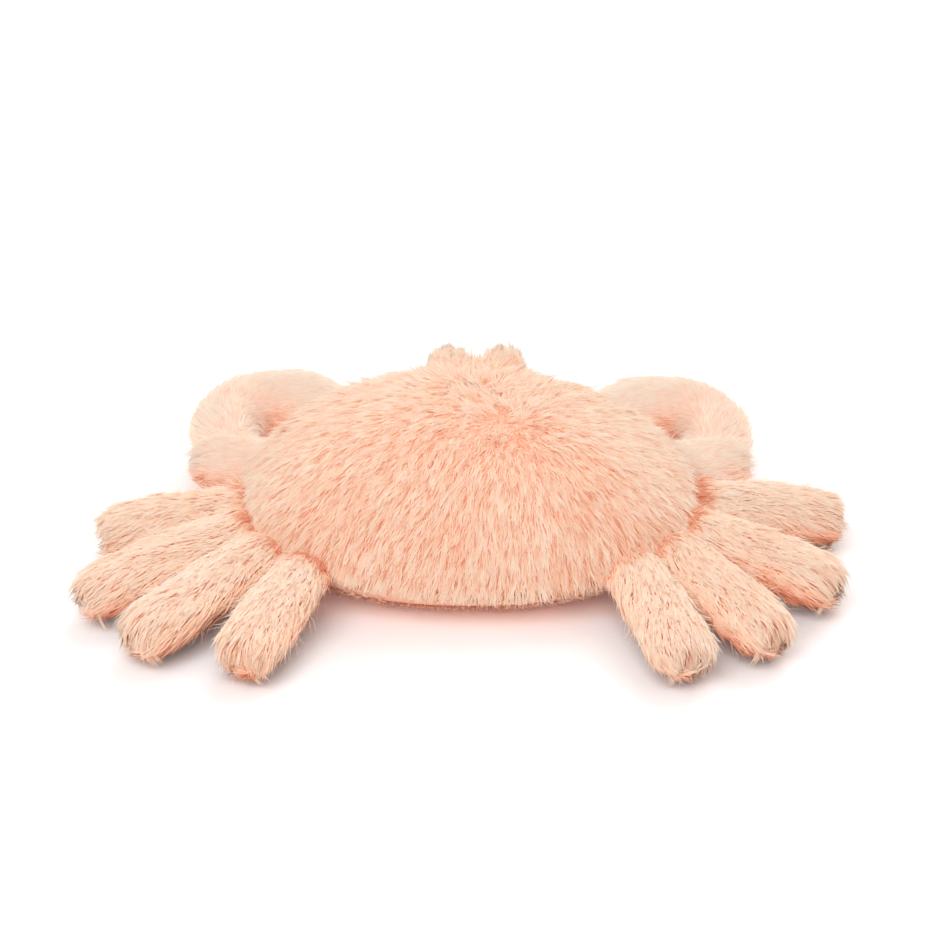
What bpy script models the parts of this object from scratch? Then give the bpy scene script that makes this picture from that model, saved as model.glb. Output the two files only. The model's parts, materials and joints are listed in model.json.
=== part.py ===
# Plush crab, lying on its belly. Metres, +Z up, its face towards +Y, Z = 0 the surface it lies on.
# Each soft piece is its outer form, out to the middle of the pile. Names say the crab's own sides: +X is right.

import math

import bmesh
import bpy
import numpy as np
from mathutils import Vector

# Body
bodyHalfWidth = 0.0705
bodyHalfDepth = 0.0530
bodyHeight = 0.0560
domeLean = -0.035  # the dome is a little higher on the crab's left, so much a metre
planSquareness = 2.5  # 2 is an ellipse seen from above, and more is squarer
domeFlatness = 2.4  # exponents of the dome's curve: more of the first is flatter on top
domeEdge = 0.7  # and less of the second is steeper at the rim
bellyFlatness = 2.6
bellyEdge = 0.6
rimHeightRear = 0.0120  # where the two body panels are sewn together, at the middle of the back
rimHeightSide = 0.0210  # the same at the crab's sides
rimTuck = 0.0030  # how far the belly's edge stands in from the carapace's
bellyFlatSink = 0.0030  # how much of the belly's round is pressed flat on the ground

# Spaces left between neighbouring pieces
seamGap = 0.0003
roomGap = 0.0004  # how much larger than a piece the room is that its neighbour leaves for it
beadGap = 0.0002

# Legs: where each one starts on the body's outline, the way it points, and its length from there
legs = {
    "right_leg_front": dict(side=1, start=0.0, aim=2.0, reach=0.0532),
    "right_leg_mid_front": dict(side=1, start=-14.5, aim=-31.0, reach=0.0576),
    "right_leg_mid_rear": dict(side=1, start=-29.5, aim=-55.5, reach=0.0585),
    "right_leg_rear": dict(side=1, start=-45.0, aim=-71.0, reach=0.0527),
    "left_leg_front": dict(side=-1, start=-2.0, aim=-9.0, reach=0.0524),
    "left_leg_mid_front": dict(side=-1, start=-15.0, aim=-33.0, reach=0.0650),
    "left_leg_mid_rear": dict(side=-1, start=-30.0, aim=-48.5, reach=0.0634),
    "left_leg_rear": dict(side=-1, start=-45.0, aim=-67.5, reach=0.0526),
}
legStartFraction = 0.87  # of the way from the body's middle to its outline
legStartHalfWidth = 0.0095
legHalfWidth = 0.0116
legHalfHeight = 0.0104
legStartLift = 0.0070  # height of the leg's middle line over its resting height, where it starts
legMiddleLift = 0.0038
legFlatSink = 0.0006  # how much of the leg's round is pressed flat on the ground

# Arms and claws
armStartAngle = 29.0
armStartFraction = 0.74
armAim = 26.5
armReach = 0.0445
armStartHalfWidth = 0.0095
armHalfWidth = 0.0105
armHeight = 0.0120  # of its middle line over the ground
armStartLift = 0.0030  # how much higher the middle line is where the arm starts
armEndDrop = 0.0010  # and how much lower where it ends
clawForward = {1: -0.0036, -1: 0.0010}  # the two claws don't lie quite alike
clawFarFinger = [
    (-0.0120, 0.0010, 0.0125, 0.0100),  # along X, along Y from the arm's end, height, half width
    (-0.0090, 0.0140, 0.0138, 0.0112),
    (-0.0165, 0.0265, 0.0148, 0.0115),
    (-0.0340, 0.0305, 0.0150, 0.0108),
    (-0.0510, 0.0245, 0.0142, 0.0085),
]
clawNearFinger = [
    (-0.0110, 0.0060, 0.0105, 0.0080),
    (-0.0190, 0.0030, 0.0092, 0.0074),
    (-0.0300, 0.0025, 0.0080, 0.0062),
]

# Eye stalks and bead eyes
stalkMiddleX = 0.0020
stalkHalfSpacing = 0.0083
stalkForward = 0.0370
stalkTopHeight = 0.0514
stalkHalfWidth = 0.0080
stalkLength = 0.0260
stalkLean = 0.0020  # how much further back its foot is
beadRadius = 0.0034
beadForward = 0.0072  # from the stalk's middle line
beadDrop = 0.0080  # of the bead's middle below the stalk's top

# Rounded ends of the limbs and claws, as shares of their length
startRound = 0.25
endRound = 0.40
endBluntness = 3.0  # 2 is an elliptical end, and more is blunter
legEndBluntness = 4.5

# Mesh fineness
bodyAround = 36
bodyRings = 20
legAround = 16
legRings = 13
fingerAround = 14
fingerRings = 12
stalkRings = 9
beadAround = 16
beadRings = 8

plushColour = (0.90, 0.62, 0.47, 1.0)
beadColour = (0.012, 0.010, 0.010, 1.0)


def clearScene():
    for item in list(bpy.data.objects):
        bpy.data.objects.remove(item)


def makeCollection(name):
    made = bpy.data.collections.new(name)
    bpy.context.scene.collection.children.link(made)
    return made


def makeMaterial(name, colour, roughness):
    made = bpy.data.materials.new(name)
    made.use_nodes = True
    shader = made.node_tree.nodes["Principled BSDF"]
    shader.inputs["Base Color"].default_value = colour
    shader.inputs["Roughness"].default_value = roughness
    shader.inputs["Metallic"].default_value = 0.0
    made.diffuse_color = colour
    return made


def sphereObject(name, around, rings, place, collection):
    # A UV sphere whose points are moved by place(turn, fall): turn runs round it, fall from 0 at the top to 1
    mesh = bpy.data.meshes.new(name)
    shell = bmesh.new()
    bmesh.ops.create_uvsphere(shell, u_segments=around, v_segments=rings, radius=1.0)
    for vertex in shell.verts:
        turn = math.atan2(vertex.co.y, vertex.co.x)
        fall = math.acos(max(-1.0, min(1.0, vertex.co.z))) / math.pi
        vertex.co = place(turn, fall)
    shell.normal_update()
    bmesh.ops.recalc_face_normals(shell, faces=shell.faces)
    shell.to_mesh(mesh)
    shell.free()
    mesh.shade_smooth()
    made = bpy.data.objects.new(name, mesh)
    collection.objects.link(made)
    return made


def planPoint(turn, fraction, inset=0.0):
    # The body's outline from above is |x/a|^q + |y/b|^q = fraction^q
    across = math.cos(turn)
    along = math.sin(turn)
    size = (abs(across) ** planSquareness + abs(along) ** planSquareness) ** (-1.0 / planSquareness)
    x = (bodyHalfWidth - inset) * fraction * size * across
    y = (bodyHalfDepth - inset) * fraction * size * along
    return x, y


def rimHeight(x):
    return rimHeightRear + (rimHeightSide - rimHeightRear) * (x / bodyHalfWidth) ** 2


def domeRise(x, fraction):
    # How far the dome stands over its rim: highest in the middle and steepest at the edge
    return (bodyHeight + domeLean * x - rimHeight(x)) * (1.0 - min(1.0, fraction) ** domeFlatness) ** domeEdge


def carapacePoint(turn, fall):
    # The upper half of the sphere is the dome and the lower half the underside, sewn to the belly
    fraction = math.sin(math.pi * fall)
    x, y = planPoint(turn, fraction)
    rim = rimHeight(x)
    if fall > 0.5:
        return Vector((x, y, rim + seamGap / 2))
    return Vector((x, y, rim + seamGap / 2 + domeRise(x, fraction)))


def bellyPoint(turn, fall):
    # The upper half of the sphere meets the carapace and the lower half is the round that rests on the ground
    fraction = math.sin(math.pi * fall)
    x, y = planPoint(turn, fraction, rimTuck)
    rim = rimHeight(x)
    if fall < 0.5:
        return Vector((x, y, rim - seamGap / 2))
    drop = (1.0 - min(1.0, fraction) ** bellyFlatness) ** bellyEdge
    return Vector((x, y, max(0.0, rim - seamGap / 2 - (rim + bellyFlatSink) * drop)))


def wholeBodyPoint(turn, fall):
    # The body with no seam, from which the cutter that makes room for it is made
    fraction = math.sin(math.pi * fall)
    x, y = planPoint(turn, fraction)
    rim = rimHeight(x)
    if fall < 0.5:
        return Vector((x, y, rim + domeRise(x, fraction)))
    drop = (1.0 - min(1.0, fraction) ** bellyFlatness) ** bellyEdge
    return Vector((x, y, rim - (rim + bellyFlatSink) * drop))


def curveThrough(rows, along):
    # A smooth curve through the rows (uniform Catmull-Rom), at a place from 0 to 1
    table = np.array(rows)
    table = np.vstack([2 * table[0] - table[1], table, 2 * table[-1] - table[-2]])
    place = along * (len(rows) - 1)
    first = min(int(place), len(rows) - 2)
    t = place - first
    a, b, c, d = table[first : first + 4]
    return 0.5 * (2 * b + (c - a) * t + (2 * a - 5 * b + 4 * c - d) * t**2 + (3 * b - a - 3 * c + d) * t**3)


def limbObject(name, rows, around, rings, collection, flatness=1.0, grow=0.0, bluntness=endBluntness):
    # A stuffed tube along the rows (x, y, height, half width), with both its ends rounded
    step = 0.01

    def place(turn, fall):
        along = 0.5 * fall + 0.25 * (1.0 - math.cos(math.pi * fall))
        middle = curveThrough(rows, along)
        ahead = curveThrough(rows, min(1.0, along + step)) - curveThrough(rows, max(0.0, along - step))
        forward = Vector(ahead[:3]).normalized()
        across = forward.cross(Vector((0, 0, 1))).normalized()
        upward = across.cross(forward)
        start = max(0.0, 1.0 - along / startRound)
        end = max(0.0, 1.0 - (1.0 - along) / endRound)
        size = (1.0 - min(1.0, max(start, end)) ** bluntness) ** (1.0 / bluntness)
        spread = grow * min(1.0, 4.0 * math.sin(math.pi * fall))
        wide = middle[3] * size + spread
        high = middle[3] * size * flatness + spread
        shift = forward * grow * (end - start)
        return Vector(middle[:3]) + shift + across * wide * math.cos(turn) + upward * high * math.sin(turn)

    return sphereObject(name, around, rings, place, collection)


def pressFlat(item, point, outward):
    # Points past the plane are pressed back onto it, as where two stuffed pieces lie against each other
    for vertex in item.data.vertices:
        past = (vertex.co - point).dot(outward)
        if past > 0:
            vertex.co -= outward * past


def cutAway(item, cutter):
    cut = item.modifiers.new("room_for_" + cutter.name, "BOOLEAN")
    cut.operation = "DIFFERENCE"
    cut.solver = "EXACT"
    cut.object = cutter


def asCutter(item):
    item.hide_render = True
    item.display_type = "WIRE"
    return item


def grown(item, amount):
    # Moves each point out along its normal
    normals = [vertex.normal.copy() for vertex in item.data.vertices]
    for vertex, normal in zip(item.data.vertices, normals):
        vertex.co += normal * amount
    return item


def legStart(leg):
    x, y = planPoint(math.radians(leg["start"]), legStartFraction)
    return Vector((leg["side"] * x, y, 0.0))


def legAim(leg):
    aim = math.radians(leg["aim"])
    return Vector((leg["side"] * math.cos(aim), math.sin(aim), 0.0))


def makeLeg(name, leg, collection, material):
    start = legStart(leg)
    aim = legAim(leg)
    rest = legHalfHeight - legFlatSink
    middle = start + aim * leg["reach"] * 0.5
    end = start + aim * leg["reach"]
    rows = [
        (start.x, start.y, rest + legStartLift, legStartHalfWidth),
        (middle.x, middle.y, rest + legMiddleLift, (legStartHalfWidth + 3 * legHalfWidth) / 4),
        (end.x, end.y, rest, legHalfWidth),
    ]
    made = limbObject(name, rows, legAround, legRings, collection, flatness=legHalfHeight / legHalfWidth,
                      bluntness=legEndBluntness)
    pressFlat(made, Vector((0, 0, 0)), Vector((0, 0, -1)))
    made.data.materials.append(material)
    return made


def partLegs(firstName, secondName):
    # Two neighbouring legs are pressed flat against each other on the plane midway between them
    first = legs[firstName]
    second = legs[secondName]
    apart = (legAim(second) - legAim(first)).normalized()
    between = (legStart(first) + legStart(second)) / 2
    heading = (legAim(first) + legAim(second)).normalized()
    apart = (apart - heading * apart.dot(heading)).normalized()
    pressFlat(bpy.data.objects[firstName], between - apart * seamGap / 2, apart)
    pressFlat(bpy.data.objects[secondName], between + apart * seamGap / 2, -apart)


def armRows(side):
    x, y = planPoint(math.radians(armStartAngle), armStartFraction)
    aim = math.radians(armAim)
    endX = x + armReach * math.cos(aim)
    endY = y + armReach * math.sin(aim)
    return [
        (side * x, y, armHeight + armStartLift, armStartHalfWidth),
        (side * (x + endX) / 2, (y + endY) / 2, armHeight, armHalfWidth),
        (side * endX, endY, armHeight - armEndDrop, armHalfWidth),
    ]


def makeArm(side, collection, cutters, material):
    word = "right" if side > 0 else "left"
    rows = armRows(side)
    arm = limbObject(word + "_arm", rows, fingerAround, stalkRings, collection)
    arm.data.materials.append(material)
    room = limbObject(word + "_arm_room", rows, fingerAround, stalkRings, cutters, grow=roomGap)
    return arm, asCutter(room)


def makeClaw(side, collection, cutters, material):
    word = "right" if side > 0 else "left"
    endX, endY = armRows(side)[-1][:2]

    def placed(rows):
        return [(endX + side * x, endY + y + clawForward[side], z, half) for x, y, z, half in rows]

    claw = limbObject(word + "_claw", placed(clawFarFinger), fingerAround, fingerRings, collection)
    finger = limbObject(word + "_near_finger", placed(clawNearFinger), fingerAround, stalkRings, cutters)
    join = claw.modifiers.new("near_finger", "BOOLEAN")
    join.operation = "UNION"
    join.solver = "EXACT"
    join.object = asCutter(finger)
    claw.data.materials.append(material)
    return claw


def makeStalk(side, collection, material):
    word = "right" if side > 0 else "left"
    x = stalkMiddleX + side * stalkHalfSpacing
    low = stalkTopHeight - stalkLength
    rows = [
        (x, stalkForward - stalkLean, low, stalkHalfWidth),
        (x, stalkForward, (low + stalkTopHeight) / 2, stalkHalfWidth),
        (x, stalkForward + stalkLean / 4, stalkTopHeight, stalkHalfWidth),
    ]
    stalk = limbObject(word + "_eye_stalk", rows, fingerAround, stalkRings, collection)
    pressFlat(stalk, Vector((stalkMiddleX + side * seamGap / 2, 0, 0)), Vector((-side, 0, 0)))
    stalk.data.materials.append(material)
    return stalk


def makeBead(side, collection, cutters, material):
    word = "right" if side > 0 else "left"
    middle = Vector((
        stalkMiddleX + side * stalkHalfSpacing,
        stalkForward + beadForward,
        stalkTopHeight - beadDrop,
    ))

    def ball(radius):
        def place(turn, fall):
            tilt = math.pi * fall
            ring = radius * math.sin(tilt)
            return middle + Vector((ring * math.cos(turn), ring * math.sin(turn), radius * math.cos(tilt)))
        return place

    bead = sphereObject(word + "_bead_eye", beadAround, beadRings, ball(beadRadius), collection)
    bead.data.materials.append(material)
    room = sphereObject(word + "_bead_room", beadAround, beadRings, ball(beadRadius + beadGap), cutters)
    return bead, asCutter(room)


def buildCrab():
    clearScene()
    crab = makeCollection("plush_crab")
    cutters = makeCollection("cutters")
    plush = makeMaterial("peach_plush", plushColour, 0.95)
    bead = makeMaterial("black_bead", beadColour, 0.15)

    carapace = sphereObject("carapace", bodyAround, bodyRings, carapacePoint, crab)
    carapace.data.materials.append(plush)
    belly = sphereObject("belly", bodyAround, bodyRings, bellyPoint, crab)
    belly.data.materials.append(plush)
    bodyRoom = asCutter(sphereObject("body_room", bodyAround, bodyRings, wholeBodyPoint, cutters))
    grown(bodyRoom, roomGap)

    for name, leg in legs.items():
        makeLeg(name, leg, crab, plush)
    for word in ("right", "left"):
        order = [word + "_leg_" + place for place in ("front", "mid_front", "mid_rear", "rear")]
        for firstName, secondName in zip(order, order[1:]):
            partLegs(firstName, secondName)
    for name in legs:
        cutAway(bpy.data.objects[name], bodyRoom)

    for side in (1, -1):
        arm, armRoom = makeArm(side, crab, cutters, plush)
        cutAway(arm, bodyRoom)
        claw = makeClaw(side, crab, cutters, plush)
        cutAway(claw, armRoom)
        cutAway(claw, bodyRoom)
        stalk = makeStalk(side, crab, plush)
        cutAway(stalk, bodyRoom)
        eye, eyeRoom = makeBead(side, crab, cutters, bead)
        cutAway(stalk, eyeRoom)


buildCrab()
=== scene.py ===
import json
import math

import bpy
import numpy as np
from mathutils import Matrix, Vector

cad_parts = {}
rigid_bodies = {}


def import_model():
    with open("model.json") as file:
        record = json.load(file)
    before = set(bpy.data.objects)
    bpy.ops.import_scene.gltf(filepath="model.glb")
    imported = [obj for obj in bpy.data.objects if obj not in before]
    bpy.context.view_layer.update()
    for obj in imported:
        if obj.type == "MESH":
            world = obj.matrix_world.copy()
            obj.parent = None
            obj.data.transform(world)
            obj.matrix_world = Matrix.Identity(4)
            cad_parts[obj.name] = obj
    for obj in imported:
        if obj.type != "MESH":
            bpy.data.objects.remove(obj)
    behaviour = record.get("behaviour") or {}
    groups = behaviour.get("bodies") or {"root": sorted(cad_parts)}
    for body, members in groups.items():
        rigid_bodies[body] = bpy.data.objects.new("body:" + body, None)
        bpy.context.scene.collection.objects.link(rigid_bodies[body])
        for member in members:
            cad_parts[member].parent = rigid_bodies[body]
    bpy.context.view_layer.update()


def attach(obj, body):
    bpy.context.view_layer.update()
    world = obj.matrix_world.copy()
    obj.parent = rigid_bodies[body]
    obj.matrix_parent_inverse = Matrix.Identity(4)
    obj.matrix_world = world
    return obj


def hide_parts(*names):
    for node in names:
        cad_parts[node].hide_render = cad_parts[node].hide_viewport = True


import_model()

print("scene: plush crab, frame loaded")


# Shapes, in metres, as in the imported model

body = {
    "halfWidth": 0.0705,
    "halfDepth": 0.0530,
    "height": 0.0560,
    "lean": -0.035,
    "squareness": 2.5,
    "rimRear": 0.0120,
    "rimSide": 0.0210,
    "rimTuck": 0.0030,
    "flatSink": 0.0030,
    "domeCurve": (2.4, 0.7),  # exponents of the dome's curve, and of the belly's
    "bellyCurve": (2.6, 0.6),
    "seamGap": 0.0004,  # of each panel from the rim between them
    "inset": 0.0048,  # how deep the cloth lies under the middle of the pile
    "bellyInset": 0.0020,
    "head": {"x": 0.0020, "y": 0.0340, "rise": 0.0054, "halfWidth": 0.0135, "halfDepth": 0.0085},
}

leg = {
    "startFraction": 0.87,
    "startHalfWidth": 0.0095,
    "halfWidth": 0.0116,
    "halfHeight": 0.0104,
    "startLift": 0.0070,
    "middleLift": 0.0038,
    "flatSink": 0.0006,
    "inset": 0.0038,
    "bluntness": 4.5,
    "floor": 0.0008,  # the cloth's least height over the ground
    "rootShare": 0.05,  # of its length that the cloth leaves out inside the body
}

legs = {
    "right_leg_front": {"side": 1, "start": 0.0, "aim": 2.0, "reach": 0.0532},
    "right_leg_mid_front": {"side": 1, "start": -14.5, "aim": -31.0, "reach": 0.0576},
    "right_leg_mid_rear": {"side": 1, "start": -29.5, "aim": -55.5, "reach": 0.0585},
    "right_leg_rear": {"side": 1, "start": -45.0, "aim": -71.0, "reach": 0.0527},
    "left_leg_front": {"side": -1, "start": -2.0, "aim": -9.0, "reach": 0.0524},
    "left_leg_mid_front": {"side": -1, "start": -15.0, "aim": -33.0, "reach": 0.0650},
    "left_leg_mid_rear": {"side": -1, "start": -30.0, "aim": -48.5, "reach": 0.0634},
    "left_leg_rear": {"side": -1, "start": -45.0, "aim": -67.5, "reach": 0.0526},
}

arm = {"start": 29.0, "fraction": 0.74, "aim": 26.5, "reach": 0.0445, "startHalfWidth": 0.0095,
       "halfWidth": 0.0105, "height": 0.0120, "startLift": 0.0030, "endDrop": 0.0010, "inset": 0.0028,
       "rootShare": 0.22}

claw = {
    "forward": {1: -0.0036, -1: 0.0010},
    "inset": 0.0026,
    "farFinger": [
        (-0.0120, 0.0010, 0.0125, 0.0100),
        (-0.0090, 0.0140, 0.0138, 0.0112),
        (-0.0165, 0.0265, 0.0148, 0.0115),
        (-0.0340, 0.0305, 0.0150, 0.0108),
        (-0.0510, 0.0245, 0.0142, 0.0085),
    ],
    "nearFinger": [
        (-0.0110, 0.0060, 0.0105, 0.0080),
        (-0.0190, 0.0030, 0.0092, 0.0074),
        (-0.0300, 0.0025, 0.0080, 0.0062),
    ],
}

stalk = {"middleX": 0.0020, "halfSpacing": 0.0083, "forward": 0.0370, "top": 0.0514, "halfWidth": 0.0080,
         "length": 0.0260, "lean": 0.0020, "inset": 0.0028, "rootShare": 0.30}

bead = {"radius": 0.0034, "forward": 0.0072, "drop": 0.0080}

# Shares of the way along a limb at which its rounded start stops and its rounded end begins
limbEnds = {"start": 0.16, "end": 0.60}


# Surfaces: each is a grid of points, rows from one pole to the other and columns round it

def planGrid(turn, fraction, inset):
    # |x/a|^q + |y/b|^q = fraction^q, the body's outline from above
    q = body["squareness"]
    across = np.cos(turn)
    along = np.sin(turn)
    size = (np.abs(across) ** q + np.abs(along) ** q) ** (-1 / q)
    x = (body["halfWidth"] - inset) * fraction * size * across
    y = (body["halfDepth"] - inset) * fraction * size * along
    return x, y


def rimHeight(x):
    # The seam's height rises as x squared, from the middle line to the sides
    return body["rimRear"] + (body["rimSide"] - body["rimRear"]) * (x / body["halfWidth"]) ** 2


def planFraction(points, inset):
    # Where points lie in the body's outline from above: 0 in the middle and 1 on the outline
    q = body["squareness"]
    x = np.abs(points[..., 0]) / (body["halfWidth"] - inset)
    y = np.abs(points[..., 1]) / (body["halfDepth"] - inset)
    return (x**q + y**q) ** (1 / q)


def bodyEdge(points, inset):
    # The fraction at which the body's surface has the points' height, from the dome's and the belly's curves
    # turned round: s = (1 - rise^(1/k))^(1/n) over the rim, and the same of the fall under it
    rim = rimHeight(points[..., 0])
    top = body["height"] - inset + body["lean"] * points[..., 0]
    rise = np.clip((points[..., 2] - rim) / (top - rim), 0, 1)
    fall = np.clip((rim - points[..., 2]) / (rim + body["flatSink"]), 0, 1)
    n, k = body["domeCurve"]
    m, j = body["bellyCurve"]
    return np.where(rise > 0, (1 - rise ** (1 / k)) ** (1 / n), (1 - fall ** (1 / j)) ** (1 / m))


def besideBody(points):
    # A limb's points that would lie inside the body are pressed outwards onto it
    inset = body["inset"] - 0.0003
    fraction = planFraction(points, inset)
    edge = bodyEdge(points, inset)
    moved = points.copy()
    moved[..., :2] *= np.where(fraction < edge, edge / np.maximum(fraction, 0.05), 1.0)[..., None]
    return moved


def poleGrid(rows, columns):
    # fall runs from 0 to 1 down the rows and turn once round the columns
    fall = np.linspace(0, 1, rows)[:, None]
    turn = np.linspace(0, 2 * np.pi, columns + 1)[None, :]
    return np.broadcast_to(fall, (rows, columns + 1)), np.broadcast_to(turn, (rows, columns + 1))


def carapaceGrid(rows=97, columns=144):
    # z = rim + (height - rim) * (1 - s^n)^k over the upper half, with a low mound exp(-x^2 - y^2) where the
    # stalks rise, and a flat underside under it
    domeShare = 0.65  # of the rows
    fall, turn = poleGrid(rows, columns)
    fraction = np.clip(np.sin(np.pi * np.minimum(fall / (2 * domeShare), 0.5)), 0, 1)
    under = np.clip((fall - domeShare) / (1 - domeShare), 0, 1)
    fraction = np.where(fall > domeShare, 1 - under, fraction)
    inset = body["inset"]
    x, y = planGrid(turn, fraction, inset)
    rim = rimHeight(x)
    n, k = body["domeCurve"]
    dome = (body["height"] - inset + body["lean"] * x - rim) * (1 - fraction**n) ** k
    head = body["head"]
    far = ((x - head["x"]) / head["halfWidth"]) ** 2 + ((y - head["y"]) / head["halfDepth"]) ** 2
    dome += head["rise"] * np.exp(-far)
    return np.stack([x, y, rim + body["seamGap"] + np.where(fall > domeShare, 0.0, dome)], -1)


def bellyGrid(rows=61, columns=120):
    # z = rim - (rim + sink) * (1 - s^m)^j, never below the cloth's height over the ground
    lidShare = 0.3  # of the rows, for its flat top side
    fall, turn = poleGrid(rows, columns)
    below = np.clip(0.5 + (fall - lidShare) / (2 - 2 * lidShare), 0.5, 1)
    fraction = np.where(fall < lidShare, fall / lidShare, np.sin(np.pi * below))
    x, y = planGrid(turn, fraction, body["rimTuck"] + body["bellyInset"])
    rim = rimHeight(x)
    m, j = body["bellyCurve"]
    drop = (rim + body["flatSink"]) * (1 - np.clip(fraction, 0, 1) ** m) ** j
    lid = rim - body["seamGap"]
    return np.stack([x, y, np.where(fall < lidShare, lid, np.maximum(body["bellyInset"], lid - drop))], -1)


def curveThrough(rows, along):
    # Uniform Catmull-Rom: 0.5 * (2b + (c-a)t + (2a-5b+4c-d)t^2 + (3b-a-3c+d)t^3)
    table = np.array(rows)
    table = np.vstack([2 * table[0] - table[1], table, 2 * table[-1] - table[-2]])
    place = np.asarray(along) * (len(rows) - 1)
    first = np.minimum(place.astype(int), len(rows) - 2)
    t = (place - first)[:, None]
    a, b, c, d = (table[first + k] for k in range(4))
    return 0.5 * (2 * b + (c - a) * t + (2 * a - 5 * b + 4 * c - d) * t**2 + (3 * b - a - 3 * c + d) * t**3)


def limbGrid(rows, inset, rootShare=0.0, flatness=1.0, count=57, columns=64, bluntness=3.0, floor=0.0):
    # A tube round the curve whose half width falls as (1 - e^n)^(1/n) over its rounded ends
    fall = np.linspace(0, 1, count)
    eased = 0.5 * fall + 0.25 * (1 - np.cos(np.pi * fall))
    along = rootShare + (1 - rootShare) * eased
    middle = curveThrough(rows, along)
    step = 0.004
    ahead = curveThrough(rows, np.minimum(1, along + step)) - curveThrough(rows, np.maximum(0, along - step))
    forward = ahead[:, :3] / np.linalg.norm(ahead[:, :3], axis=1, keepdims=True)
    across = np.cross(forward, [0, 0, 1.0])
    across /= np.linalg.norm(across, axis=1, keepdims=True)
    upward = np.cross(across, forward)
    start = np.clip(1 - eased / limbEnds["start"], 0, 1)
    end = np.clip((along - limbEnds["end"]) / (1 - limbEnds["end"]), 0, 1)
    size = (1 - np.maximum(start, end) ** bluntness) ** (1 / bluntness)
    spine = middle[:, :3] - forward * inset * end[:, None]
    wide = ((middle[:, 3] - inset) * size)[:, None, None]
    high = ((middle[:, 3] * flatness - inset) * size)[:, None, None]
    turn = np.linspace(0, 2 * np.pi, columns + 1)[None, :, None]
    points = spine[:, None] + across[:, None] * wide * np.cos(turn) + upward[:, None] * high * np.sin(turn)
    points[..., 2] = np.maximum(points[..., 2], floor)
    return points


def legRows(spec):
    # Middle and half width at a leg's start, halfway and at its end, on a straight line that slopes down
    x, y = planGrid(np.radians(spec["start"]), leg["startFraction"], 0.0)
    aim = math.radians(spec["aim"])
    rest = leg["halfHeight"] - leg["flatSink"]
    rows = []
    lifts = (leg["startLift"], leg["middleLift"], 0.0)
    widths = (leg["startHalfWidth"], (leg["startHalfWidth"] + 3 * leg["halfWidth"]) / 4, leg["halfWidth"])
    for share, lift, half in zip((0.0, 0.5, 1.0), lifts, widths):
        reach = share * spec["reach"]
        across = spec["side"] * (x + reach * math.cos(aim))
        rows.append((across, y + reach * math.sin(aim), rest + lift, half))
    return rows


def armRows(side):
    # The same for an arm, which starts further inside the outline
    x, y = planGrid(np.radians(arm["start"]), arm["fraction"], 0.0)
    aim = math.radians(arm["aim"])
    endX = x + arm["reach"] * math.cos(aim)
    endY = y + arm["reach"] * math.sin(aim)
    return [
        (side * x, y, arm["height"] + arm["startLift"], arm["startHalfWidth"]),
        (side * (x + endX) / 2, (y + endY) / 2, arm["height"], arm["halfWidth"]),
        (side * endX, endY, arm["height"] - arm["endDrop"], arm["halfWidth"]),
    ]


def fingerRows(side, rows):
    # A finger's rows, set from the arm's end and mirrored to its side
    endX, endY = armRows(side)[-1][:2]
    return [(endX + side * x, endY + y + claw["forward"][side], z, half) for x, y, z, half in rows]


def stalkRows(side):
    # A stalk's rows from its foot inside the dome to its top, leaning slightly forwards
    x = stalk["middleX"] + side * stalk["halfSpacing"]
    low = stalk["top"] - stalk["length"]
    return [
        (x, stalk["forward"] - stalk["lean"], low, stalk["halfWidth"]),
        (x, stalk["forward"], (low + stalk["top"]) / 2, stalk["halfWidth"]),
        (x, stalk["forward"] + stalk["lean"] / 4, stalk["top"], stalk["halfWidth"]),
    ]


# Meshes

def meshObject(name, vertices, faces):
    mesh = bpy.data.meshes.new(name)
    mesh.from_pydata(vertices.tolist(), [], faces)
    mesh.update()
    mesh.shade_smooth()
    made = bpy.data.objects.new(name, mesh)
    bpy.context.scene.collection.objects.link(made)
    return made


def gridObject(name, points):
    # Rows of points become quads, and the first and last row close to one point each
    rows, columns = points.shape[0], points.shape[1] - 1
    inner = points[1:-1, :-1].reshape(-1, 3)
    vertices = np.vstack([points[0, :-1].mean(0), inner, points[-1, :-1].mean(0)])
    ring = np.arange(columns)
    after = (ring + 1) % columns
    top = np.stack([np.zeros(columns, int), 1 + ring, 1 + after], -1)
    last = 1 + (rows - 3) * columns
    bottom = np.stack([np.full(columns, len(vertices) - 1), last + after, last + ring], -1)
    base = 1 + np.arange(rows - 3)[:, None] * columns
    quads = np.stack([base + ring, base + columns + ring, base + columns + after, base + after], -1)
    quads = quads.reshape(-1, 4)
    corners = vertices[quads]
    volume = np.einsum("ij,ij->i", corners[:, 0] - vertices.mean(0),
                       np.cross(corners[:, 1] - corners[:, 0], corners[:, 2] - corners[:, 0])).sum()
    faces = [*top.tolist(), *quads.tolist(), *bottom.tolist()]
    if volume < 0:
        faces = [face[::-1] for face in faces]
    return meshObject(name, vertices, faces)


# Pile: fine tapered strands, each a closed spindle of a root, a ring of three and a tip

strand = {
    "lockLift": 0.20,  # how much locks differ in lift and in length
    "lockLength": 0.13,
    "lengths": (0.75, 1.15),
    "cutLengths": (0.75, 1.2),  # where the pile is cut short over the seam
    "lifts": (0.85, 1.15),
    "looseLifts": (0.35, 0.85),
    "liftLimits": (0.12, 0.92),
    "ownReach": 0.65,  # how far a strand keeps its own reach forwards as its lock gathers
    "ringPlace": 0.42,
    "arch": 0.16,
    "widths": (0.7, 1.25),
    "looseWidth": 0.45,
    # painted highlight: loose fibres are made paler, for the light their fine tips catch round the outline
    "looseHighlight": 0.25,
    "lowest": 0.0003,
    "swaySize": 0.018,
    "toneSize": 0.030,
    "mapShift": 0.004,  # gives a strand's sides some width on the map
}

creaseShade = {"reach": 0.08, "uneven": 0.03}  # of the painted crease shade round the body, as shares of its outline


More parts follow.
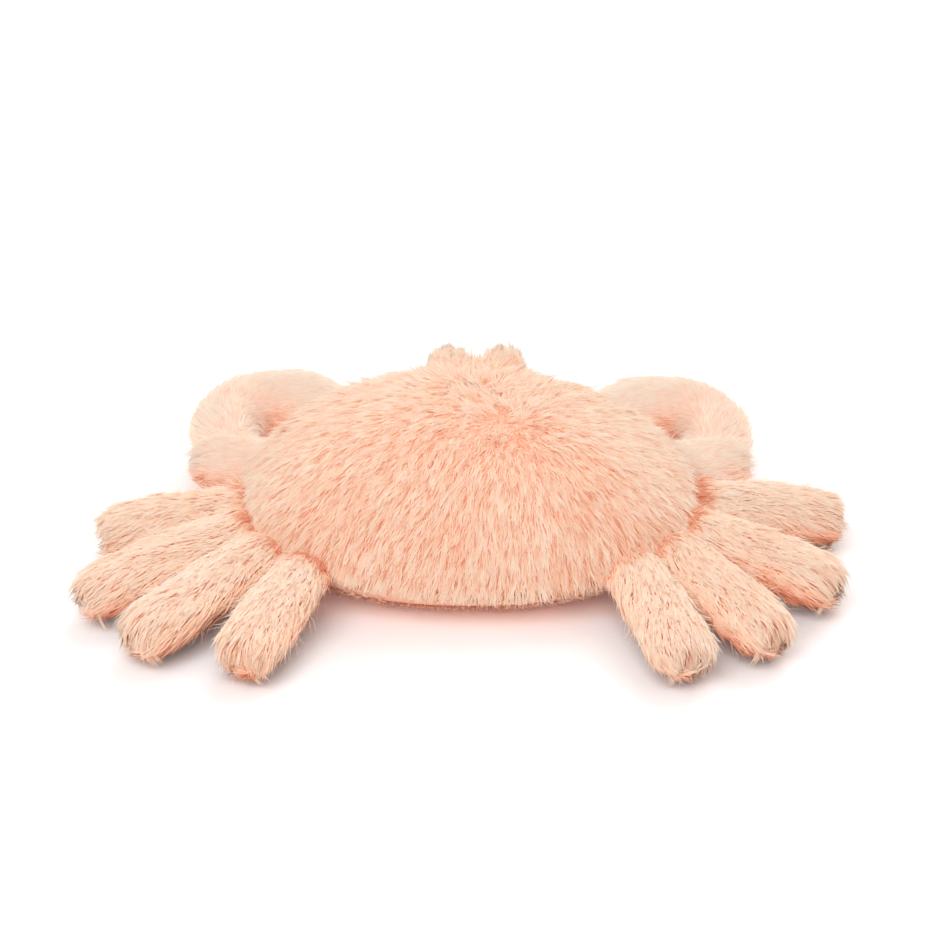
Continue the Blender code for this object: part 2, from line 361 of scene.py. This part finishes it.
def scatter(points, count, rng, under=1.0):
    # Roots spread evenly over a grid's area, fewer on its underside, with the surface's normal and its
    # direction along the rows there
    a = points[:-1, :-1]
    b = points[1:, :-1]
    c = points[1:, 1:]
    d = points[:-1, 1:]
    normal = np.cross(c - a, d - b)
    area = np.linalg.norm(normal, axis=-1)
    outward = np.einsum("ijk,ijk->ij", normal, (a + c) / 2 - points.reshape(-1, 3).mean(0)).sum()
    normal *= np.sign(outward) / np.maximum(area, 1e-12)[..., None]
    along = (b - a) + (c - d)
    along /= np.maximum(np.linalg.norm(along, axis=-1), 1e-12)[..., None]
    share = area * np.where(normal[..., 2] < -0.35, under, 1.0)
    cells = rng.choice(area.size, count, p=(share / share.sum()).ravel())
    i, j = np.unravel_index(cells, area.shape)
    s = rng.random((count, 1))
    t = rng.random((count, 1))
    root = (a[i, j] * (1 - s) + b[i, j] * s) * (1 - t) + (d[i, j] * (1 - s) + c[i, j] * s) * t
    return root, normal[i, j], along[i, j]


def unit(v):
    return v / np.maximum(np.linalg.norm(v, axis=-1, keepdims=True), 1e-9)


def onSurface(v, normal):
    return unit(v - normal * np.einsum("ij,ij->i", v, normal)[:, None])


def softNoise(points, size, seed):
    # A sum of six sine waves of random direction, about -1 to 1, whose features are about this size
    rng = np.random.default_rng(seed)
    waves = rng.normal(size=(6, 3)) * (2.2 / size)
    return np.sin(points @ waves.T + rng.random(6) * 2 * np.pi).sum(1) / 3.2


def lockOf(points, forward, size, stretch):
    # Which lock a strand belongs to: the nearest of one random point per cube of space, seen longer along
    # the fur
    place = points / size
    corner = np.floor(place).astype(np.int64)
    best = np.full(len(points), np.inf)
    found = np.zeros(len(points), np.int64)
    for step in np.ndindex(3, 3, 3):
        cube = corner + np.array(step) - 1
        key = (cube[:, 0] * 73856093 ^ cube[:, 1] * 19349663 ^ cube[:, 2] * 83492791) & 0xFFFFFF
        shift = np.stack([np.sin(key * k) * 43758.5453 % 1 for k in (12.9898, 78.233, 37.719)], -1)
        away = cube + shift - place
        ahead = np.einsum("ij,ij->i", away, forward)
        far = np.einsum("ij,ij->i", away, away) - ahead**2 * (1 - 1 / stretch**2)
        closer = far < best
        best = np.where(closer, far, best)
        found = np.where(closer, key, found)
    return np.unique(found, return_inverse=True)[1]


def strandMesh(name, root, middle, tip, radius, normal, shade, look):
    heading = unit(tip - root)
    side = unit(np.cross(heading, normal))
    upward = np.cross(side, heading)
    spokes = [math.cos(angle) * side + math.sin(angle) * upward
              for angle in (math.pi / 2, math.pi * 7 / 6, math.pi * 11 / 6)]
    vertices = np.stack([root, *[middle + radius[:, None] * spoke for spoke in spokes], tip], 1)
    count = len(root)
    pattern = np.array([(0, 1, 2), (0, 2, 3), (0, 3, 1), (4, 2, 1), (4, 3, 2), (4, 1, 3)])
    corners = (pattern[None] + 5 * np.arange(count)[:, None, None]).reshape(-1)
    shift = strand["mapShift"]
    coordinates = np.zeros((count, 5, 2))
    coordinates[..., 0] = shade[:, None] + np.array([0, 0, -shift, shift, 0])
    coordinates[..., 1] = np.array([0.02, 0.40, 0.40, 0.40, 0.98])
    mesh = bpy.data.meshes.new(name)
    mesh.vertices.add(count * 5)
    mesh.vertices.foreach_set("co", vertices.astype(np.float32).ravel())
    mesh.loops.add(len(corners))
    mesh.loops.foreach_set("vertex_index", corners.astype(np.int32))
    mesh.polygons.add(count * 6)
    mesh.polygons.foreach_set("loop_start", np.arange(0, len(corners), 3, dtype=np.int32))
    mesh.update(calc_edges=True)
    layer = mesh.uv_layers.new(name="OFBake")
    layer.data.foreach_set("uv", coordinates.reshape(-1, 2)[corners].astype(np.float32).ravel())
    mesh.shade_smooth()
    # Fibres this thin scatter light as one soft surface, so they are shaded mostly by the skin's normal,
    # turned some way up on all but the undersides
    soft = normal.copy()
    lit = np.clip(1 + 2 * normal[:, 2], 0, 1)
    soft[:, 2] = np.maximum(soft[:, 2], look["underside"]) + look["upward"] * lit
    soft = unit(soft)
    turned = np.stack([soft, *[unit(soft + look["roundness"] * spoke) for spoke in spokes], soft], 1)
    mesh.normals_split_custom_set_from_vertices(turned.reshape(-1, 3))
    made = bpy.data.objects.new(name, mesh)
    bpy.context.scene.collection.objects.link(made)
    return made


def pileObject(name, points, wanted, look, flow, seed, keep=None, longest=None, rise=None, hollow=None,
               aim=None):
    # Each strand leaves its root along the flow, turned by its sway, and is pulled to its lock's mean tip:
    # tip = root + length * (normal * lift + heading * sqrt(1 - lift^2))
    rng = np.random.default_rng(seed)
    root, normal, along = scatter(points, wanted, rng, look["under"])
    if keep is not None:
        kept = keep(root, normal)
        root, normal, along = root[kept], normal[kept], along[kept]
    forward = flow(root, normal, along)
    sway = look["sway"] * softNoise(root, strand["swaySize"], seed + 1)
    lock = lockOf(root, forward, look["lockSize"], look["stretch"])
    locks = lock.max() + 1
    lockSway = rng.normal(0, look["lockSway"], locks)[lock]
    lockLift = rng.normal(1, strand["lockLift"], locks)[lock]
    lockLength = rng.normal(1, strand["lockLength"], locks)[lock]
    lockShade = rng.random(locks)[lock]
    count = len(root)
    angle = (sway + lockSway + rng.normal(0, look["strandSway"], count))[:, None]
    sideways = np.cross(normal, forward)
    heading = forward * np.cos(angle) + sideways * np.sin(angle)
    length = look["length"] * lockLength * rng.uniform(*strand["lengths"], count)
    if longest is not None:
        length = np.minimum(length, longest(root) * rng.uniform(*strand["cutLengths"], count))
    length = length[:, None]
    lift = look["lift"] * lockLift * rng.uniform(*strand["lifts"], count)
    if rise is not None:
        lift += rise(root)
    # A few finer loose fibres stand out of the locks, which makes the outline soft
    loose = rng.random(count) < look["loose"]
    lift = np.where(loose, rng.uniform(*strand["looseLifts"], count), lift)
    lift = np.clip(lift, *strand["liftLimits"])[:, None]
    flat = np.sqrt(1 - lift**2)
    tip = root + (normal * lift + heading * flat) * length
    lockTip = np.stack([np.bincount(lock, tip[:, k], locks) for k in range(3)], -1)
    lockTip = (lockTip / np.bincount(lock, minlength=locks)[:, None])[lock]
    pull = lockTip - tip
    ahead = np.einsum("ij,ij->i", pull, heading)[:, None]
    tip = tip + np.where(loose, 0, look["gather"])[:, None] * (pull - strand["ownReach"] * ahead * heading)
    middle = root + (tip - root) * strand["ringPlace"] + normal * length * (strand["arch"] * flat)
    for place in (middle, tip):
        place[:, 2] = np.maximum(place[:, 2], strand["lowest"])
    radius = look["radius"] * rng.uniform(*strand["widths"], count) * np.where(loose, strand["looseWidth"], 1)
    broad = softNoise(root, strand["toneSize"], seed + 2)
    shade = 0.5 + look["paler"] + look["patchy"] * (2 * lockShade - 1) + look["broad"] * broad
    # Each strand's tone differs at random, and loose fibres are painted paler, a painted highlight round the
    # outline
    shade += rng.normal(0, look["speckle"], count) + np.where(loose, strand["looseHighlight"], 0)
    # Painted shade: the fur is made darker on undersides, on flanks that face rearwards and in the crease
    # round the body, where shade falls
    rearward = np.clip(-normal[:, 1], 0, 1)
    under = np.clip(0.25 + look["flankShade"] * rearward - normal[:, 2], 0, 1) * (1 - np.abs(forward[:, 2]))
    if aim is not None:
        under *= 1 - np.clip(normal @ aim, 0, 1)
    shade -= look["underShade"] * under + look["creaseShade"] * nearBody(root, broad)
    # Painted shade in the claw's hollow, darkest at its middle
    if hollow is not None:
        shade -= look["hollow"] * np.exp(-((root - hollow) ** 2).sum(1) / look["hollowSize"] ** 2)
    return strandMesh(name, root, middle, tip, radius, normal, np.clip(shade, 0.02, 0.98), look)


def nearBody(root, broad):
    # How much painted crease shade a root gets: 1 on the body's outline, falling to 0 a few millimetres
    # outside it, with an uneven edge
    reach = creaseShade["reach"]
    return np.clip((1 + reach + creaseShade["uneven"] * broad - planFraction(root, body["inset"])) / reach, 0, 1)


# Materials

def passLight(nodes, links, shader, glow):
    # Lamplight that would be stopped passes on in the glow's colour, as it does through stuffed plush
    path = nodes.new("ShaderNodeLightPath")
    clear = nodes.new("ShaderNodeBsdfTransparent")
    clear.inputs["Color"].default_value = (*glow, 1)
    thin = nodes.new("ShaderNodeMixShader")
    links.new(path.outputs["Is Shadow Ray"], thin.inputs["Fac"])
    links.new(shader.outputs["BSDF"], thin.inputs[1])
    links.new(clear.outputs["BSDF"], thin.inputs[2])
    links.new(thin.outputs["Shader"], nodes["Material Output"].inputs["Surface"])


def plushMaterial(name, shadedRootColour, middleColour, tipColour, tones, glow):
    # Colour runs from root to tip up the strand's map, darker at the root as painted shade in the depth of
    # the pile, and through the tones across it
    made = bpy.data.materials.new(name)
    made.use_nodes = True
    nodes = made.node_tree.nodes
    links = made.node_tree.links
    shader = nodes["Principled BSDF"]
    shader.inputs["Roughness"].default_value = 0.85
    shader.inputs["Specular IOR Level"].default_value = 0.0
    strandMap = nodes.new("ShaderNodeUVMap")
    strandMap.uv_map = "OFBake"
    split = nodes.new("ShaderNodeSeparateXYZ")
    links.new(strandMap.outputs["UV"], split.inputs["Vector"])
    rise = nodes.new("ShaderNodeValToRGB")
    rise.color_ramp.elements[0].position = 0.05
    rise.color_ramp.elements[0].color = (*shadedRootColour, 1)
    rise.color_ramp.elements[1].position = 0.9
    rise.color_ramp.elements[1].color = (*tipColour, 1)
    rise.color_ramp.elements.new(0.45).color = (*middleColour, 1)
    links.new(split.outputs["Y"], rise.inputs["Fac"])
    tone = nodes.new("ShaderNodeValToRGB")
    tone.color_ramp.elements[0].color = (*tones[0][1], 1)
    tone.color_ramp.elements[1].color = (*tones[-1][1], 1)
    for place, colour in tones[1:-1]:
        tone.color_ramp.elements.new(place).color = (*colour, 1)
    links.new(split.outputs["X"], tone.inputs["Fac"])
    mix = nodes.new("ShaderNodeMix")
    mix.data_type = "RGBA"
    mix.blend_type = "MULTIPLY"
    mix.inputs["Factor"].default_value = 1.0
    links.new(rise.outputs["Color"], mix.inputs["A"])
    links.new(tone.outputs["Color"], mix.inputs["B"])
    links.new(mix.outputs["Result"], shader.inputs["Base Color"])
    passLight(nodes, links, shader, glow)
    return made


def clothMaterial(name, deepColour, paleColour, glow):
    # The backing cloth under the pile: short fuzz in a darker colour, painted shade of the pile's depth where
    # it shows between strands
    made = bpy.data.materials.new(name)
    made.use_nodes = True
    nodes = made.node_tree.nodes
    links = made.node_tree.links
    shader = nodes["Principled BSDF"]
    shader.inputs["Roughness"].default_value = 0.9
    shader.inputs["Specular IOR Level"].default_value = 0.0
    place = nodes.new("ShaderNodeTexCoord")
    fuzz = nodes.new("ShaderNodeTexNoise")
    fuzz.inputs["Scale"].default_value = 900
    fuzz.inputs["Detail"].default_value = 3
    links.new(place.outputs["Object"], fuzz.inputs["Vector"])
    tone = nodes.new("ShaderNodeValToRGB")
    tone.color_ramp.elements[0].color = (*deepColour, 1)
    tone.color_ramp.elements[1].color = (*paleColour, 1)
    links.new(fuzz.outputs["Fac"], tone.inputs["Fac"])
    links.new(tone.outputs["Color"], shader.inputs["Base Color"])
    bump = nodes.new("ShaderNodeBump")
    bump.inputs["Strength"].default_value = 0.6
    bump.inputs["Distance"].default_value = 0.0008
    links.new(fuzz.outputs["Fac"], bump.inputs["Height"])
    links.new(bump.outputs["Normal"], shader.inputs["Normal"])
    passLight(nodes, links, shader, glow)
    return made


def beadMaterial():
    made = bpy.data.materials.new("black_bead_gloss")
    made.use_nodes = True
    nodes = made.node_tree.nodes
    links = made.node_tree.links
    shader = nodes["Principled BSDF"]
    shader.inputs["Specular IOR Level"].default_value = 0.35
    shader.inputs["Coat Weight"].default_value = 0.25
    shader.inputs["Coat Roughness"].default_value = 0.05
    place = nodes.new("ShaderNodeTexCoord")
    haze = nodes.new("ShaderNodeTexNoise")
    haze.inputs["Scale"].default_value = 600
    links.new(place.outputs["Object"], haze.inputs["Vector"])
    rough = nodes.new("ShaderNodeMapRange")
    rough.inputs["To Min"].default_value = 0.10
    rough.inputs["To Max"].default_value = 0.20
    links.new(haze.outputs["Fac"], rough.inputs["Value"])
    links.new(rough.outputs["Result"], shader.inputs["Roughness"])
    shader.inputs["Base Color"].default_value = (0.012, 0.010, 0.010, 1)
    return made


# Tones across the strand's map: random tone for each lock and strand, and at the low end painted shade on
# undersides, in creases and in the claws' hollows
tones = [(0.0, (0.80, 0.40, 0.30)), (0.12, (0.96, 0.66, 0.54)), (0.26, (1.0, 0.80, 0.71)),
         (0.44, (1.0, 0.86, 0.81)), (0.60, (1.0, 0.925, 0.85)), (1.0, (1.0, 1.0, 1.0))]
glow = (0.95, 0.74, 0.62)
clothGlow = (0.62, 0.34, 0.27)
backing = clothMaterial("peach_backing", (1.0, 0.56, 0.40), (1.0, 0.70, 0.54), clothGlow)
paleBacking = clothMaterial("pale_backing", (1.0, 0.70, 0.56), (1.0, 0.80, 0.68), clothGlow)
plush = plushMaterial("peach_pile", (1.0, 0.54, 0.37), (1.0, 0.80, 0.64), (1.0, 0.92, 0.80), tones, glow)
palePlush = plushMaterial("pale_pile", (1.0, 0.66, 0.50), (1.0, 0.86, 0.73), (1.0, 0.93, 0.85), tones, glow)
beadGloss = beadMaterial()


# Pieces

whorl = {"ends": ((-0.003, 0.014), (0.014, -0.010)), "downhill": 2.2, "tumble": 2.6, "tumbleSize": 0.0036,
         "reach": 0.011, "rise": 0.22, "headRise": 0.35, "headFade": 0.7}


def fromWhorl(root):
    # The way from the nearest point of the whorl's line, and how near that is, from 1 on it to 0
    first, last = (np.array(end) for end in whorl["ends"])
    run = last - first
    share = np.clip((root[:, :2] - first) @ run / (run @ run), 0, 1)[:, None]
    away = root[:, :2] - first - share * run
    return away, np.exp(-np.einsum("ij,ij->i", away, away) / whorl["reach"] ** 2)


def carapaceFlow(root, normal, along):
    # Fur runs out from a tumbled line near the top, and more and more straight down where the body gets steep
    away, near = fromWhorl(root)
    turn = whorl["tumble"] * near * softNoise(root, whorl["tumbleSize"], 31)
    away = unit(away)
    turned = np.stack([away[:, 0] * np.cos(turn) - away[:, 1] * np.sin(turn),
                       away[:, 0] * np.sin(turn) + away[:, 1] * np.cos(turn),
                       -whorl["downhill"] + 0 * turn], -1)
    return onSurface(turned, normal)


def whorlRise(root):
    # The pile stands up more on the whorl and round the foot of the stalks
    head = body["head"]
    across = (root[:, 0] - head["x"]) / head["halfWidth"]
    along = (root[:, 1] - head["y"]) / head["halfDepth"]
    far = across**2 + along**2
    return whorl["rise"] * fromWhorl(root)[1] + whorl["headRise"] * np.exp(-whorl["headFade"] * far)


hem = {"hang": 0.0028, "slant": 0.030, "shortest": 0.0030, "slope": 0.85}


def toHem(root):
    # The carapace's pile is cut so that it hangs just past the seam, further on the crab's right
    over = root[:, 2] - rimHeight(root[:, 0]) + hem["hang"] + hem["slant"] * root[:, 0]
    return np.maximum(hem["shortest"], over / hem["slope"])


def bellyFlow(root, normal, along):
    # Under the body the fur runs rearwards, and at the rim outwards and down
    away = root * np.array([1.0, 1.0, 0.0]) + np.array([0, -0.012, -0.01])
    return onSurface(away, normal)


splay = {"height": 0.005, "outward": 0.4}


def limbFlow(aim, droop, parting):
    # Fur runs along the limb and droops at its sides, and falls down over its end, parted to both sides,
    # where it splays on the floor
    def flow(root, normal, along):
        forward = along + np.array([0, 0, -droop])
        end = np.clip(np.einsum("ij,j->i", normal, aim), 0, 1)[:, None] ** 2
        side = np.cross(aim, [0, 0, 1.0])
        apart = np.sign(np.einsum("ij,j->i", normal, side))[:, None] * side
        low = 1 - np.clip(root[:, 2:] / splay["height"], 0, 1)
        outward = splay["outward"] + (1 - splay["outward"]) * low
        fall = np.array([0, 0, -1.0]) * (1 - low) + outward * aim
        return onSurface(forward * (1 - end) + end * (fall + parting * apart), normal)
    return flow


def stalkFlow(side):
    # Fluff that stands up and a little outwards all round
    def flow(root, normal, along):
        return onSurface(np.array([0.15 * side, -0.1, 1.0]) + 0 * root, normal)
    return flow


def dress(node, skin, pileGrids, look, flow, seed, fill, pale=False, **shape):
    # The cloth stands for the CAD node, and the pile goes with it. A look's "casting" says how many of a
    # piece's piles cast shadows
    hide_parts(node)
    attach(skin, "root")
    skin.data.materials.append(paleBacking if pale else backing)
    for number, (grid, count) in enumerate(zip(pileGrids, look["counts"])):
        suffix = "_pile" if len(pileGrids) == 1 else "_pile_" + str(number + 1)
        fur = pileObject(node + suffix, grid, count, look, flow, seed + 10 * number, **shape)
        fur.data.materials.append(palePlush if pale else plush)
        fur.visible_shadow = number < look["casting"]
        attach(fur, "root")


bodyPile = {"counts": (30000, 30000), "length": 0.0072, "lift": 0.44, "lockSize": 0.0016, "stretch": 2.4,
            "sway": 0.20, "lockSway": 0.17, "strandSway": 0.14, "gather": 0.32, "radius": 0.00017,
            "loose": 0.10, "paler": 0.0, "patchy": 0.30, "broad": 0.12, "speckle": 0.09, "underShade": 0.4,
            "creaseShade": 0.0, "upward": 0.50, "underside": -0.2, "roundness": 0.25, "under": 1.0, "flankShade": 0.0,
            "casting": 1}
# The belly's pile is painted darker than the carapace's, painted shade under the rim
bellyPile = dict(bodyPile, counts=(8000,), length=0.0032, lift=0.40, gather=0.0, paler=-0.26, patchy=0.08,
                 speckle=0.05, underShade=0.0, upward=0.3, underside=0.1, radius=0.00014)
legPile = dict(bodyPile, counts=(8000,), length=0.0070, lift=0.22, lockSize=0.0015, gather=0.0,
               roundness=0.12, lockSway=0.11, strandSway=0.11, loose=0.07, radius=0.00022, speckle=0.05,
               paler=0.25, patchy=0.16, creaseShade=1.1, underShade=1.1, upward=0.9, underside=0.3, under=0.6,
               flankShade=0.45)
armPile = dict(legPile, counts=(3000,), length=0.0062, lockSway=0.10, gather=0.16, patchy=0.10,
               speckle=0.06, radius=0.00015, paler=0.10, creaseShade=0.2, underShade=0.8, flankShade=0.3, upward=1.2,
               roundness=0.05, casting=0)
clawPile = dict(armPile, counts=(8000, 2200), length=0.0060, lift=0.26, paler=0.16, creaseShade=0.0, underShade=0.2,
                hollow=0.55, hollowSize=0.010)
stalkPile = dict(legPile, counts=(3600,), length=0.0040, lift=0.58, lockSway=0.75, strandSway=0.3,
                 gather=0.25, lockSize=0.0012, radius=0.00014, paler=0.06, patchy=0.2, creaseShade=0.0,
                 underShade=0.0, upward=2.0, underside=0.0, under=1.0, casting=0)


def outsideBody(root, normal):
    # Keeps the roots that aren't on the patch where a limb is pressed against the body
    return planFraction(root, body["inset"] - 0.0010) > bodyEdge(root, body["inset"])


def outsideBodyAhead(aim):
    # The same without the shoulder round that patch, where strands would stand into the body's pile
    def keep(root, normal):
        return outsideBody(root, normal) & (np.einsum("ij,j->i", normal, aim) > -0.2)
    return keep


carapacePoints = carapaceGrid()
dress("carapace", gridObject("carapace_cloth", carapacePoints[::2, ::2]), [carapacePoints[:64]] * 2, bodyPile,
      carapaceFlow, 100, 0.8, longest=toHem, rise=whorlRise)
bellyPoints = bellyGrid()
dress("belly", gridObject("belly_cloth", bellyPoints[::2, ::2]), [bellyPoints[18:]], bellyPile, bellyFlow,
      200, 0.7)
print("scene: body dressed")

for number, (name, spec) in enumerate(legs.items()):
    points = limbGrid(legRows(spec), leg["inset"], leg["rootShare"], leg["halfHeight"] / leg["halfWidth"],
                      bluntness=leg["bluntness"], floor=leg["floor"])
    points = besideBody(points)
    aim = math.radians(spec["aim"])
    heading = np.array([spec["side"] * math.cos(aim), math.sin(aim), 0.0])
    dress(name, gridObject(name + "_cloth", points[::2, ::2]), [points], legPile,
          limbFlow(heading, 0.25, 0.35), 300 + 20 * number, 0.8, keep=outsideBodyAhead(heading), aim=heading)
print("scene: legs dressed")


def joined(name, first, second):
    # One cloth from two that cross
    union = first.modifiers.new("union", "BOOLEAN")
    union.operation = "UNION"
    union.object = second
    graph = bpy.context.evaluated_depsgraph_get()
    mesh = bpy.data.meshes.new_from_object(first.evaluated_get(graph))
    mesh.shade_smooth()
    made = bpy.data.objects.new(name, mesh)
    bpy.context.scene.collection.objects.link(made)
    for spare in (first, second):
        bpy.data.objects.remove(spare)
    return made


for side, word in ((1, "right"), (-1, "left")):
    points = besideBody(limbGrid(armRows(side), arm["inset"], arm["rootShare"]))
    aim = math.radians(arm["aim"])
    heading = np.array([side * math.cos(aim), math.sin(aim), 0.0])
    dress(word + "_arm", gridObject(word + "_arm_cloth", points[::2, ::2]), [points], armPile,
          limbFlow(heading, 0.2, 0.0), 500 + side, 0.8, pale=True, keep=outsideBodyAhead(heading))
    far = limbGrid(fingerRows(side, claw["farFinger"]), claw["inset"])
    near = limbGrid(fingerRows(side, claw["nearFinger"]), claw["inset"] * 0.85)
    skin = joined(word + "_claw_cloth", gridObject("far_finger", far[::2, ::2]),
                  gridObject("near_finger", near[::2, ::2]))
    # The painted shade in the claw's hollow centres halfway between the far finger's start and a place near
    # its tip
    rows = fingerRows(side, claw["farFinger"])
    ends = [np.array(rows[k][:3]) for k in (0, 3)]
    dress(word + "_claw", skin, [far, near], clawPile, limbFlow(np.array([-side, 0.0, 0.0]), 0.15, 0.0),
          540 + side, 0.8, pale=True, keep=outsideBody, hollow=sum(ends) / 2)
    points = besideBody(limbGrid(stalkRows(side), stalk["inset"], stalk["rootShare"], count=41, columns=48))
    dress(word + "_eye_stalk", gridObject(word + "_eye_stalk_cloth", points[::2, ::2]), [points], stalkPile,
          stalkFlow(side), 580 + side, 0.8, keep=outsideBody)
    fall, turn = poleGrid(33, 48)
    middle = np.array([stalk["middleX"] + side * stalk["halfSpacing"], stalk["forward"] + bead["forward"],
                       stalk["top"] - bead["drop"]])
    ball = middle + bead["radius"] * np.stack(
        [np.sin(np.pi * fall) * np.cos(turn), np.sin(np.pi * fall) * np.sin(turn), np.cos(np.pi * fall)], -1)
    eye = gridObject(word + "_bead", ball)
    eye.data.materials.append(beadGloss)
    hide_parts(word + "_bead_eye")
    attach(eye, "root")
print("scene: claws and eyes dressed")


# Floor, light and camera

studio = {
    "floorSize": 6.0,
    "floorColour": (0.97, 0.96, 0.96),
    "floorGlow": (0.05, 0.45),  # near the crab and far from it, as seen by the camera
    "glowReach": (0.10, 0.60),
    "worldStrength": 0.64,
    "worldColour": (1.0, 0.90, 0.85),
    "lampColour": (0.93, 0.965, 1.0),
    "key": {"place": (-0.30, -0.85, 1.15), "power": 12.5, "size": 1.2},
    "fill": {"place": (0.45, 0.80, 1.10), "power": 6.2, "size": 1.0},
}
view = {"elevation": 28.0, "distance": 1.1, "target": (0.0, 0.0, 0.028), "lens": 137.8}


def makeFloor():
    mesh = bpy.data.meshes.new("floor")
    half = studio["floorSize"] / 2
    corners = [(-half, -half, 0), (half, -half, 0), (half, half, 0), (-half, half, 0)]
    mesh.from_pydata(corners, [], [(0, 1, 2, 3)])
    floor = bpy.data.objects.new("floor", mesh)
    bpy.context.scene.collection.objects.link(floor)
    made = bpy.data.materials.new("pale_floor")
    made.use_nodes = True
    nodes = made.node_tree.nodes
    links = made.node_tree.links
    shader = nodes["Principled BSDF"]
    shader.inputs["Base Color"].default_value = (*studio["floorColour"], 1)
    shader.inputs["Roughness"].default_value = 0.9
    path = nodes.new("ShaderNodeLightPath")
    # The seen background goes to white away from the crab's shadow
    place = nodes.new("ShaderNodeTexCoord")
    away = nodes.new("ShaderNodeVectorMath")
    away.operation = "LENGTH"
    links.new(place.outputs["Object"], away.inputs[0])
    share = nodes.new("ShaderNodeMapRange")
    share.inputs["From Min"].default_value = studio["glowReach"][0]
    share.inputs["From Max"].default_value = studio["glowReach"][1]
    share.inputs["To Min"].default_value = studio["floorGlow"][0]
    share.inputs["To Max"].default_value = studio["floorGlow"][1]
    links.new(away.outputs["Value"], share.inputs["Value"])
    glow = nodes.new("ShaderNodeMath")
    glow.operation = "MULTIPLY"
    links.new(share.outputs["Result"], glow.inputs[1])
    links.new(path.outputs["Is Camera Ray"], glow.inputs[0])
    shader.inputs["Emission Color"].default_value = (1, 1, 1, 1)
    links.new(glow.outputs[0], shader.inputs["Emission Strength"])
    floor.data.materials.append(made)


def makeWorld():
    world = bpy.data.worlds.new("studio")
    bpy.context.scene.world = world
    world.use_nodes = True
    nodes = world.node_tree.nodes
    links = world.node_tree.links
    background = nodes["Background"]
    path = nodes.new("ShaderNodeLightPath")
    seen = nodes.new("ShaderNodeMath")
    seen.operation = "MAXIMUM"
    links.new(path.outputs["Is Camera Ray"], seen.inputs[0])
    links.new(path.outputs["Is Glossy Ray"], seen.inputs[1])
    seenToo = nodes.new("ShaderNodeMath")
    seenToo.operation = "MAXIMUM"
    links.new(seen.outputs[0], seenToo.inputs[0])
    links.new(path.outputs["Is Transmission Ray"], seenToo.inputs[1])
    strength = nodes.new("ShaderNodeMapRange")
    strength.inputs["To Min"].default_value = studio["worldStrength"]
    strength.inputs["To Max"].default_value = 1.0
    links.new(seenToo.outputs[0], strength.inputs["Value"])
    links.new(strength.outputs["Result"], background.inputs["Strength"])
    # The light that comes from all round is a little warmer than the lamps, and the background seen is white
    tint = nodes.new("ShaderNodeMix")
    tint.data_type = "RGBA"
    tint.inputs["A"].default_value = (*studio["worldColour"], 1)
    tint.inputs["B"].default_value = (1, 1, 1, 1)
    links.new(seenToo.outputs[0], tint.inputs["Factor"])
    links.new(tint.outputs["Result"], background.inputs["Color"])


def makeLamp(name):
    spec = studio[name]
    lamp = bpy.data.lights.new(name, "AREA")
    lamp.shape = "DISK"
    lamp.size = spec["size"]
    lamp.energy = spec["power"]
    lamp.color = studio["lampColour"]
    made = bpy.data.objects.new(name, lamp)
    made.location = spec["place"]
    made.rotation_euler = lookAt(spec["place"], (0, 0, 0.02))
    bpy.context.scene.collection.objects.link(made)


def lookAt(place, target):
    return (Vector(target) - Vector(place)).to_track_quat("-Z", "Y").to_euler()


def makeCamera():
    camera = bpy.data.cameras.new("camera")
    camera.lens = view["lens"]
    camera.sensor_width = 36.0
    camera.clip_start = 0.01
    made = bpy.data.objects.new("camera", camera)
    tilt = math.radians(view["elevation"])
    target = np.array(view["target"])
    made.location = target + view["distance"] * np.array([0, -math.cos(tilt), math.sin(tilt)])
    made.rotation_euler = (math.pi / 2 - tilt, 0, 0)
    bpy.context.scene.collection.objects.link(made)
    bpy.context.scene.camera = made


makeFloor()
makeWorld()
makeLamp("key")
makeLamp("fill")
makeCamera()
bpy.context.scene.view_settings.view_transform = "Standard"
triangles = sum(len(face.vertices) - 2
                for item in bpy.data.objects if item.type == "MESH" and not item.hide_render
                for face in item.data.polygons)
print("scene: triangles", triangles)
print("scene: floor, light and camera")
